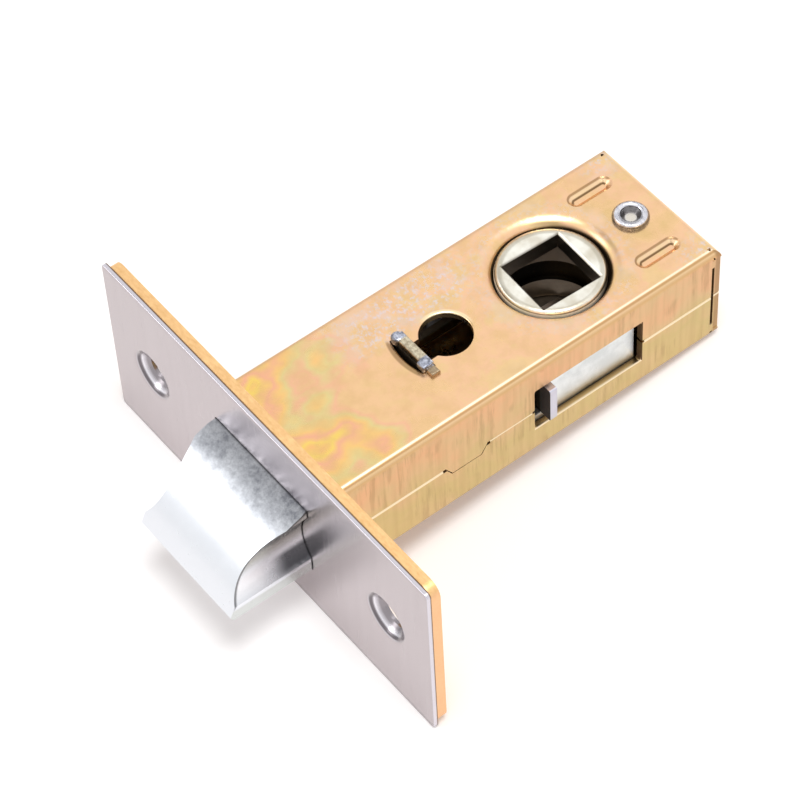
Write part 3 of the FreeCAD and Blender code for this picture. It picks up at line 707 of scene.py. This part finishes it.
def spring_rises(length):
    """How far along the spring each step of its wire lies, with the turns at both ends closed."""
    steps = SPRING_TURNS * TURN_STEPS
    openness = []
    for i in range(steps):
        turns_from_end = min(i, steps - 1 - i) / TURN_STEPS
        openness.append(min(max((turns_from_end - CLOSED_TURNS) / OPENING_TURNS, 0.0), 1.0))
    closed = SPRING_WIRE * CLOSED_PITCH / TURN_STEPS
    spare = length - SPRING_WIRE - closed * steps
    rises = [SPRING_WIRE / 2]
    for share in openness:
        rises.append(rises[-1] + closed + spare * share / sum(openness))
    return rises


def wind_wire(radius, rises):
    """The points and faces of a round wire wound about the Y axis, with flat ends."""
    points = []
    for i, rise in enumerate(rises):
        turn = math.tau * i / TURN_STEPS
        for k in range(WIRE_SIDES):
            round_wire = math.tau * k / WIRE_SIDES
            out = radius + SPRING_WIRE / 2 * math.cos(round_wire)
            along = rise + SPRING_WIRE / 2 * math.sin(round_wire)
            points.append(Vector((out * math.cos(turn), along, out * math.sin(turn))))
    last = len(points) - WIRE_SIDES
    faces = [tuple(reversed(range(WIRE_SIDES))), tuple(range(last, len(points)))]
    for ring in range(0, last, WIRE_SIDES):
        for k in range(WIRE_SIDES):
            a = ring + k
            b = ring + (k + 1) % WIRE_SIDES
            faces.append((a, b, b + WIRE_SIDES, a + WIRE_SIDES))
    return points, faces


def wind_spring(material):
    """The bolt's spring, wound as round wire in place of the CAD spring and carried whole with the bolt.
    """
    low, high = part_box("bolt_spring")
    middle = (low.z + high.z) / 2
    points, faces = wind_wire((high.x - low.x - SPRING_WIRE) / 2, spring_rises(high.y - low.y))
    mesh = bpy.data.meshes.new("wound_spring")
    mesh.from_pydata([point + Vector((0, low.y, middle)) for point in points], [], faces)
    for face in mesh.polygons:
        face.use_smooth = len(face.vertices) == 4
    mesh.materials.append(material)
    spring = add_object("wound_spring", mesh)
    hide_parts("bolt_spring")
    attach(spring, "bolt")
    slide = next(joint for joint in frame["joints"] if joint["name"] == "bolt_slide")
    keep = 1.0 - slide["range_m"][1] / (high.y - low.y)
    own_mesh(spring)


def place_camera():
    """Looks from AZIMUTH and ELEVATION at the target, slid aside in its own plane and rolled."""
    azimuth, elevation, roll = (math.radians(angle) for angle in (AZIMUTH, ELEVATION, ROLL))
    flat = math.cos(elevation)
    back = Vector((math.sin(azimuth) * flat, -math.cos(azimuth) * flat, math.sin(elevation)))
    level = Vector((math.cos(azimuth), math.sin(azimuth), 0.0))
    rise = back.cross(level)
    right = level * math.cos(roll) + rise * math.sin(roll)
    up = rise * math.cos(roll) - level * math.sin(roll)
    spot = TARGET - right * SLIDE_RIGHT - up * SLIDE_UP + back * DISTANCE
    data = bpy.data.cameras.new("camera")
    data.lens = LENS
    data.sensor_width = SENSOR
    data.clip_start = 0.01
    data.clip_end = 20.0
    camera = add_object("camera", data)
    turn = Matrix((right, up, back)).transposed()
    camera.matrix_world = Matrix.Translation(spot) @ turn.to_4x4()
    bpy.context.scene.camera = camera


def hang_lamp(name, place, side, watts):
    """A square lamp that faces the latch."""
    data = bpy.data.lights.new(name, "AREA")
    data.shape = "SQUARE"
    data.size = side
    data.energy = watts
    made = add_object(name, data)
    made.location = place
    made.rotation_euler = (TARGET - Vector(place)).to_track_quat("-Z", "Y").to_euler()


def light_world():
    """Even light on the object, and plain white where the camera or a reflection sees the world."""
    world = bpy.data.worlds.new("studio")
    bpy.context.scene.world = world
    world.use_nodes = True
    world.node_tree.nodes.clear()
    nodes = Nodes(world.node_tree)
    camera_ray = nodes.node("ShaderNodeLightPath", out="Is Camera Ray")
    glossy_ray = nodes.node("ShaderNodeLightPath", out="Is Glossy Ray")
    glass_ray = nodes.node("ShaderNodeLightPath", out="Is Transmission Ray")
    seen = camera_ray.most(glossy_ray).most(glass_ray)
    strength = seen * (WORLD_SEEN - WORLD_LIGHT) + WORLD_LIGHT
    back = nodes.node("ShaderNodeBackground", None, {"Color": (1, 1, 1, 1), "Strength": strength})
    out = nodes.tree.nodes.new("ShaderNodeOutputWorld")
    nodes.feed(out.inputs["Surface"], back)


def matt_material(name, colour, roughness):
    """A material without any shine, and its shader."""
    material = bpy.data.materials.new(name)
    material.use_nodes = True
    shader = material.node_tree.nodes["Principled BSDF"]
    shader.inputs["Base Color"].default_value = colour
    shader.inputs["Roughness"].default_value = roughness
    shader.inputs["Specular IOR Level"].default_value = 0.0
    return material, shader


def square_corners(half):
    return [(-half, -half), (half, -half), (half, half), (-half, half)]


def add_sheet(name, corners, material):
    """A flat sheet with four corners."""
    mesh = bpy.data.meshes.new(name)
    mesh.from_pydata(corners, [], [(0, 1, 2, 3)])
    mesh.materials.append(material)
    return add_object(name, mesh)


def lay_floor():
    """A white floor, tilted as the latch rests on it, that keeps the shadow."""
    slope = (FLOOR_REAR - FLOOR_FRONT) / FLOOR_REAR_Y
    corners = [(x, y, FLOOR_FRONT + slope * y) for x, y in square_corners(FLOOR_HALF)]
    material, shader = matt_material("floor_white", FLOOR_WHITE, roughness=0.9)
    shader.inputs["Emission Color"].default_value = FLOOR_GLOW
    shader.inputs["Emission Strength"].default_value = FLOOR_GLOW_STRENGTH
    floor = add_sheet("floor", corners, material)


def hang_card(name, way, distance, side, shade, density=1.0):
    """A dark card with a soft rim that the bright metal reflects, as a light tent's opening would be."""
    half = side / 2
    material, shader = matt_material(name, (shade, shade, shade, 1), roughness=1.0)
    nodes = Nodes(material.node_tree)
    place = nodes.node("ShaderNodeTexCoord", out="Object")
    from_middle = nodes.node("ShaderNodeVectorMath", {"operation": "LENGTH"}, {0: place}, out="Value")
    nodes.feed(shader.inputs["Alpha"], from_middle.ramp(half * CARD_CORE, half, density, 0.0))
    card = add_sheet(name, [(x, y, 0) for x, y in square_corners(half)], material)
    card.location = TARGET + Vector(way).normalized() * distance
    card.rotation_euler = Vector(way).to_track_quat("Z", "Y").to_euler()


bpy.context.scene.view_settings.view_transform = "Standard"
place_camera()
light_world()
lay_floor()
hang_lamp("overhead", place=(0.14, -0.02, 0.79), side=0.35, watts=3.8)
hang_lamp("front", place=(-0.36, -0.48, 0.36), side=0.3, watts=0.7)
hang_card("tent_opening", way=(0.506, -0.355, 0.785), distance=0.6, side=0.4, shade=0.04)
hang_card("front_card", way=(-0.506, -0.14, 0.85), distance=0.7, side=0.48, shade=0.06, density=0.72)

gold = yellow_zinc()
bright = bright_zinc()
dress({
    "forend_cover": satin_steel(),
    "forend_plate": plate_zinc(),
    "upper_shell": gold,
    "lower_shell": gold,
    "spring_abutment": tongue_zinc(),
    "rear_rivet": rivet_zinc(),
    "rivet_spacer": bright,
    "hub": hub_casting(),
    "latch_bolt": bolt_casting(),
    "bolt_yoke": bright,
})
wind_spring(spring_wire())
